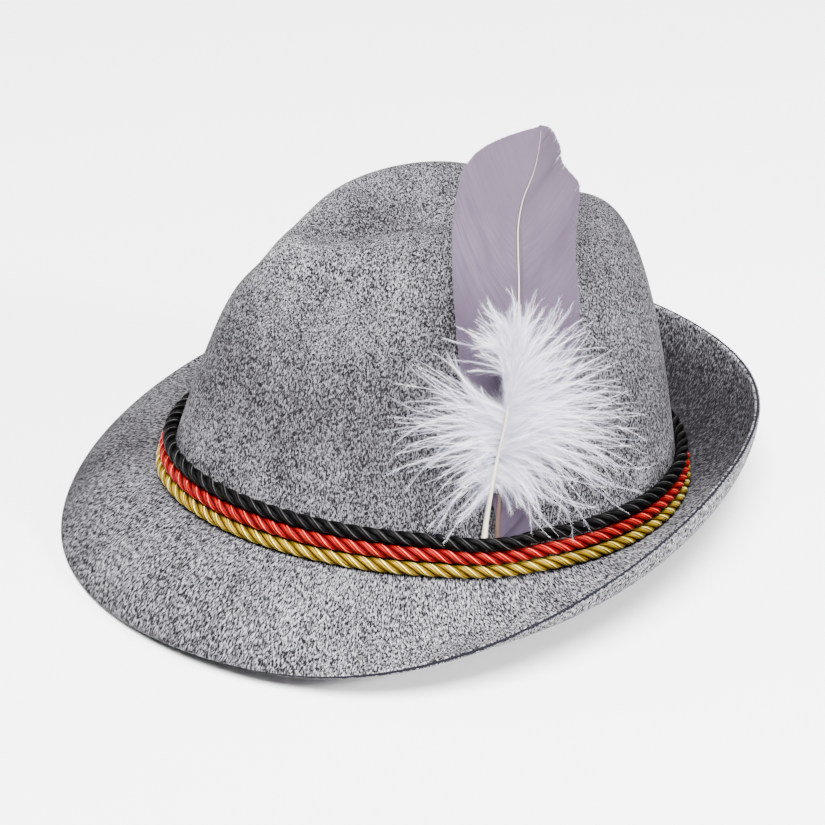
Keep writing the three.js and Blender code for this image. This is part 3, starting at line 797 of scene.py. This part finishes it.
def cord(name, order, bulge, paint):
    """A twisted cord: strands laid round each other, each with ridges of yarn.

    Its paint reads the direction round each strand and the distance along it.
    """
    centre, away, at, length = cord_line(order, bulge)
    lay = 2 * np.pi * round(length / CORD_PITCH) / length
    strand_radius = CORD_RADIUS * STRAND_SHARE
    helix = CORD_RADIUS - strand_radius
    upright = np.array([0, 0, 1.0])
    parts = []
    for strand in range(STRANDS):
        phase = lay * at + 2 * np.pi * strand / STRANDS
        radial = away * np.cos(phase)[:, None] - upright * np.sin(phase)[:, None]
        sides = 2 * np.pi * np.arange(STRAND_SIDES) / STRAND_SIDES
        ridges = STRAND_YARNS * sides[None] + lay * at[:, None] * YARN_TURNS
        radius = strand_radius * (1 + YARN_RELIEF * np.cos(ridges))
        points, faces, angle = tube(centre + radial * helix, radial, STRAND_WIDE * radius,
                                    STRAND_THICK * radius, STRAND_SIDES, True)
        ring = stacked(np.cos(angle), np.sin(angle), 0 * angle)
        along = np.repeat(at * 1.3 + 31 * strand, STRAND_SIDES)
        parts.append((points, faces, ring, along))
    points, faces, ring, along = joined(parts)
    return piece(name, settled(points), faces, material(name + "_silk", paint),
                 ring=ring, along=along)


def sheet_frame():
    """The plane that the feathers lie along: its foot, its upward and its outward direction."""
    black_height = GOLD_HEIGHT + 2 * CORD_STEP
    turn = np.array(turn_at(FEATHER_PLACE))
    point, normal = wall_at(turn, np.array(black_height))
    shoulder = wall_at(turn, np.array(CROWN_HEIGHT * PINCH["height"]))[0]
    foot_x = point[0] + (SHAFT_DIAMETER / 2 + QUILL_GAP) / normal[0]
    foot_z = black_height - CORD_RADIUS * 0.6
    lean = (foot_x - shoulder[0] - FEATHER_STANDOFF) / (shoulder[2] - black_height)
    foot = np.array([foot_x + lean * (black_height - foot_z), 0, foot_z])
    return foot, unit(np.array([-lean, 0, 1])), unit(np.array([1, 0, lean]))


FOOT, UPWARD, OUTWARD = sheet_frame()
SIDEWARD = np.array([0, 1.0, 0])


def on_sheet(along, side, out):
    return (FOOT + np.multiply.outer(along, UPWARD) + np.multiply.outer(side, SIDEWARD)
            + np.multiply.outer(out, OUTWARD))


def vane_out(along, side):
    """How far the web stands off its plane, which it leaves in shallow folds.

    along is a share of the feather's length and side a distance from the shaft.
    """
    away = side / (FEATHER_WIDTH / 2)
    trough = 1.3 * away ** 2
    curl = 3.0 * np.clip(-away - 0.62, 0, 1) * (0.5 + np.sin(along * 17 - 1))
    ripple = 0.45 * np.sin(along * 34 + away * 2.5) * np.abs(away)
    pressed = 0.009 * side ** 2 * np.exp(-along * FEATHER_LENGTH / 10)
    return trough + curl + ripple - pressed


def barb_roots(end, edge, slope):
    """Where barbs that end at the web's edge leave the shaft, as shares of the length."""
    root = end
    for _ in range(20):
        reach = np.abs(edge - smooth(VANE[:, 0], VANE[:, 1], root))
        root = np.clip(end - reach * slope * FEATHER_WIDTH / FEATHER_LENGTH, 0, 1)
    return root


def web(generator):
    """Both sides of the long feather's web, barb by barb."""
    parts = []
    for side, column, first, last in WEB_SIDES:
        end = 1 - 0.97 * np.linspace(1, 0, BARBS) ** 1.6
        edge = smooth(VANE[:, 0], VANE[:, column], end)
        root = barb_roots(end, edge, (first + last) / 2)
        shaft = smooth(VANE[:, 0], VANE[:, 1], root)
        share = np.append(np.linspace(0, 0.985, BARB_STEPS - 1), 1)[None, :]
        bent = share * (first + (last - first) * share / 2) / ((first + last) / 2)
        along = mix(root[:, None], end[:, None], bent)
        for split_side, split_at, opening in SPLITS:
            if split_side == side:
                past = root[:, None] - split_at
                wedge = np.sign(past) * np.exp(-np.abs(past) / SPLIT_SPREAD)
                wedge = wedge * np.clip(share - 0.1, 0, 1)
                along = along + wedge * (1 - share) * opening / FEATHER_LENGTH
        sideways = mix(shaft[:, None], edge[:, None], share) * FEATHER_WIDTH
        sideways = sideways - side * generator.random((BARBS, 1)) * EDGE_UNEVEN * share ** 8
        along = np.clip(along, 0, 1)
        out = vane_out(along, sideways - shaft[:, None] * FEATHER_WIDTH)
        out = out + generator.normal(0, BARB_UNEVEN, (BARBS, 1)) * share
        lines = on_sheet(along * FEATHER_LENGTH, FEATHER_PLACE + sideways, out)
        across = unit(np.cross(OUTWARD, unit(np.gradient(lines, axis=1))))
        gap = np.abs(np.sum(np.gradient(lines, axis=0) * across, axis=-1, keepdims=True))
        half = across * np.clip(0.8 * gap, 0.06, 1.2) + OUTWARD * 0.03 * side
        points, faces, barb, place = tapered(lines, half)
        parts.append((points, faces, side * place, np.repeat(root, 2 * BARB_STEPS - 1),
                      barb + 1000.0 * side))
    return joined(parts)


def long_feather(generator):
    """Web and ivory shaft of the long feather."""
    points, faces, across, along, barb = web(generator)
    vane = piece("feather_web", settled(points), faces, material("mauve_web", vane_paint),
                 across=across, along=along, barb=barb)
    share = np.linspace(0, 0.985, SHAFT_STATIONS)
    side = FEATHER_PLACE + FEATHER_WIDTH * smooth(VANE[:, 0], VANE[:, 1], share)
    centres = on_sheet(share * FEATHER_LENGTH, side, 0.25 + 0 * share)
    radius = mix(SHAFT_DIAMETER / 2, 0.1, share ** 0.5)[:, None]
    points, faces, angle = tube(centres, np.broadcast_to(OUTWARD, centres.shape),
                                radius, radius * 0.8, SHAFT_SIDES, False)
    shaft = piece("feather_shaft", settled(points), faces, material("ivory_shaft", shaft_paint),
                  side=np.sin(angle), place=np.repeat(share, SHAFT_SIDES))
    return vane, shaft


def marabou_point(share):
    return on_sheet(share * MARABOU_LENGTH,
                    MARABOU_PLACE + smooth(QUILL[:, 0], QUILL[:, 1], share) * MARABOU_LENGTH,
                    smooth(QUILL[:, 0], QUILL[:, 2], share) * MARABOU_RISE)


def down_strands(generator):
    """Middle lines of the down's barbs, which leave the quill in locks and then fan out."""
    rows = np.repeat(LOCKS, (LOCKS[:, 5] * LOCK_STRANDS).astype(int), axis=0)
    count = len(rows)
    from_share = np.clip(rows[:, 0] + generator.normal(0, ROOT_SPREAD, count), 0.26, 1)
    first = np.radians(rows[:, 1] + generator.normal(0, FIRST_SPREAD, count))[:, None]
    last = np.radians(rows[:, 2] + generator.normal(0, LAST_SPREAD, count))[:, None]
    length = rows[:, 3] * LOCK_LENGTH * generator.uniform(0.4, 1.15, count)
    lift = rows[:, 4] + generator.normal(0, LIFT_SPREAD, count)
    steps = np.linspace(0, 1, STRAND_STEPS)[None, :]
    heading = mix(first, last, steps * (2 - steps))
    heading = heading + generator.normal(0, BEND_SPREAD, (count, 1)) * steps ** 3
    heading = heading + WAVE * np.sin(steps * generator.uniform(3, 9, (count, 1))
                                      + generator.uniform(0, 6, (count, 1)))
    step = length[:, None] / (STRAND_STEPS - 1)
    up = np.concatenate([np.zeros((count, 1)), np.cumsum(np.cos(heading)[:, 1:] * step, 1)], 1)
    beside = np.concatenate([np.zeros((count, 1)), np.cumsum(np.sin(heading)[:, 1:] * step, 1)], 1)
    out = lift[:, None] * length[:, None] * steps * (2 - steps)
    return (marabou_point(from_share)[:, None] + up[..., None] * UPWARD
            + beside[..., None] * SIDEWARD + (out - 0.7)[..., None] * OUTWARD)


def across_lines(lines, generator):
    """A random direction square to each line at each of its points."""
    along = unit(np.gradient(lines, axis=1))
    seed = generator.normal(0, 1, (len(lines), 1, 3))
    return unit(np.cross(along, np.broadcast_to(seed, along.shape)))


def barbules(lines, generator):
    """Fine fibres that leave the down's barbs on all sides and lean towards their tips."""
    count, steps = lines.shape[:2]
    at = generator.random((count, BARBULES)) ** 1.4 * (steps - 1.02)
    low = np.floor(at).astype(int)
    part = (at - low)[..., None]
    row = np.arange(count)[:, None]
    root = mix(lines[row, low], lines[row, low + 1], part)
    along = unit(lines[row, low + 1] - lines[row, low])
    sideways = unit(np.cross(along, generator.normal(0, 1, along.shape)))
    share = (at / (steps - 1))[..., None]
    length = BARBULE_LENGTH * (1 - 0.74 * share) * generator.uniform(0.4, 1.3, share.shape)
    length = length * generator.uniform(0.5, 1.25, (count, 1, 1))
    lean = np.radians(generator.uniform(*BARBULE_LEAN, share.shape))
    tip = root + (sideways * np.sin(lean) + along * np.cos(lean)) * length
    half = BARBULE_HALF_WIDTH * unit(np.cross(tip - root, generator.normal(0, 1, root.shape)))
    points = np.stack([root - half, root + half, tip], 2).reshape(-1, 3)
    place = np.stack([share, share, share + 0.3], 2).ravel()
    return points, np.arange(len(points)).reshape(-1, 3), np.repeat(np.arange(count), 3 * BARBULES), place


def marabou(generator):
    """White down of the short feather and its cream quill."""
    lines = down_strands(generator)
    place = np.linspace(0, 1, STRAND_STEPS)[None, :, None]
    half = across_lines(lines, generator) * mix(*BARB_HALF_WIDTHS, place)
    cross = np.cross(unit(np.gradient(lines, axis=1)), half)
    parts = [tapered(lines, half), tapered(lines, cross), barbules(lines, generator)]
    points, faces, strand, share = joined(parts)
    down = piece("marabou_down", settled(points), faces, material("white_down", down_paint),
                 strand=strand, place=share)
    share = np.linspace(0, 1, QUILL_STATIONS)
    centres = marabou_point(share)
    radius = mix(MARABOU_QUILL_DIAMETER / 2, 0.22, share ** 0.6)[:, None]
    points, faces, _ = tube(centres, np.broadcast_to(OUTWARD, centres.shape), radius, radius,
                            SHAFT_SIDES, False)
    quill = piece("marabou_quill", settled(points), faces, material("cream_quill", quill_paint))
    return down, quill


# Stage

def floor():
    """A wide level floor under the hat."""
    half = 4.0
    points = np.array([[-half, -half, 0], [half, -half, 0], [half, half, 0], [-half, half, 0]])
    made = piece("floor", points, np.array([[0, 1, 2, 3]]), material("pale_floor", floor_paint))


def softbox(name, place, size, power):
    """A square light that points at the hat."""
    light = bpy.data.lights.new(name, "AREA")
    light.shape = "SQUARE"
    light.size = size
    light.energy = power
    aim = Vector((0, 0, AIM_HEIGHT)) - Vector(place)
    made = bpy.data.objects.new(name, light)
    made.location = place
    made.rotation_euler = aim.to_track_quat("-Z", "Y").to_euler()
    bpy.context.scene.collection.objects.link(made)


def lighting():
    world = bpy.data.worlds.new("studio")
    world.use_nodes = True
    background = world.node_tree.nodes["Background"]
    background.inputs["Color"].default_value = rgb(1, 1, 1)
    background.inputs["Strength"].default_value = ROOM_LIGHT
    bpy.context.scene.world = world
    for setting in SOFTBOXES:
        softbox(*setting)


def camera():
    """The photograph's view, set down with the hat."""
    turn, height, roll = (math.radians(v) for v in (VIEW_TURN, VIEW_HEIGHT, VIEW_ROLL))
    back = Vector((math.sin(turn) * math.cos(height), -math.cos(turn) * math.cos(height),
                   math.sin(height)))
    right = Vector((math.cos(turn), math.sin(turn), 0))
    up = back.cross(right)
    level = Matrix((right * math.cos(roll) + up * math.sin(roll),
                    up * math.cos(roll) - right * math.sin(roll), back)).transposed()
    setting = Matrix.Rotation(-REST_TILT, 3, "X")
    place = Vector(settled(np.array(Vector(VIEW_TARGET) + back * VIEW_DISTANCE)))
    seen = bpy.data.cameras.new("camera")
    seen.lens = LENS
    seen.sensor_width = 36
    made = bpy.data.objects.new("camera", seen)
    made.matrix_world = Matrix.Translation(place) @ (setting @ level).to_4x4()
    bpy.context.scene.collection.objects.link(made)
    bpy.context.scene.camera = made


# Cords from the lowest up: node, share of a quill's thickness that it bulges by over the
# quills, then its dark colour, for its threads and the painted shade in its grooves, its body
# colour, its pale colour for the painted highlights, its roughness and how metallic it is
CORDS = [
    ("cord_gold", 0.25,
     rgb(0.03, 0.016, 0.001), rgb(0.25, 0.145, 0.002), rgb(1.0, 0.93, 0.3), 0.33, 0.15),
    ("cord_red", 0.6,
     rgb(0.03, 0.0004, 0.0004), rgb(0.19, 0.0004, 0.001), rgb(0.9, 0.12, 0.07), 0.4, 0.0),
    ("cord_black", 1,
     rgb(0.0003, 0.0003, 0.0003), rgb(0.0012, 0.0011, 0.0011), rgb(0.05, 0.048, 0.048), 0.45, 0.0),
]


def main():
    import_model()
    camera()
    lighting()
    floor()
    generator = np.random.default_rng(7)
    stands_for = [(felt_body(), "felt_body", "felt")]
    for order, (node, bulge, *finish) in enumerate(CORDS):
        colour = node.split("_")[1]
        made = cord(colour + "_rope", order, bulge, cord_paint(*finish))
        stands_for.append((made, node, colour + "_cord"))
    for made in long_feather(generator):
        stands_for.append((made, "long_feather", "feather"))
    for made in marabou(generator):
        stands_for.append((made, "marabou_feather", "down"))
    for made, node, slot in stands_for:
        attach(made, "root")
        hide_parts(node)


main()
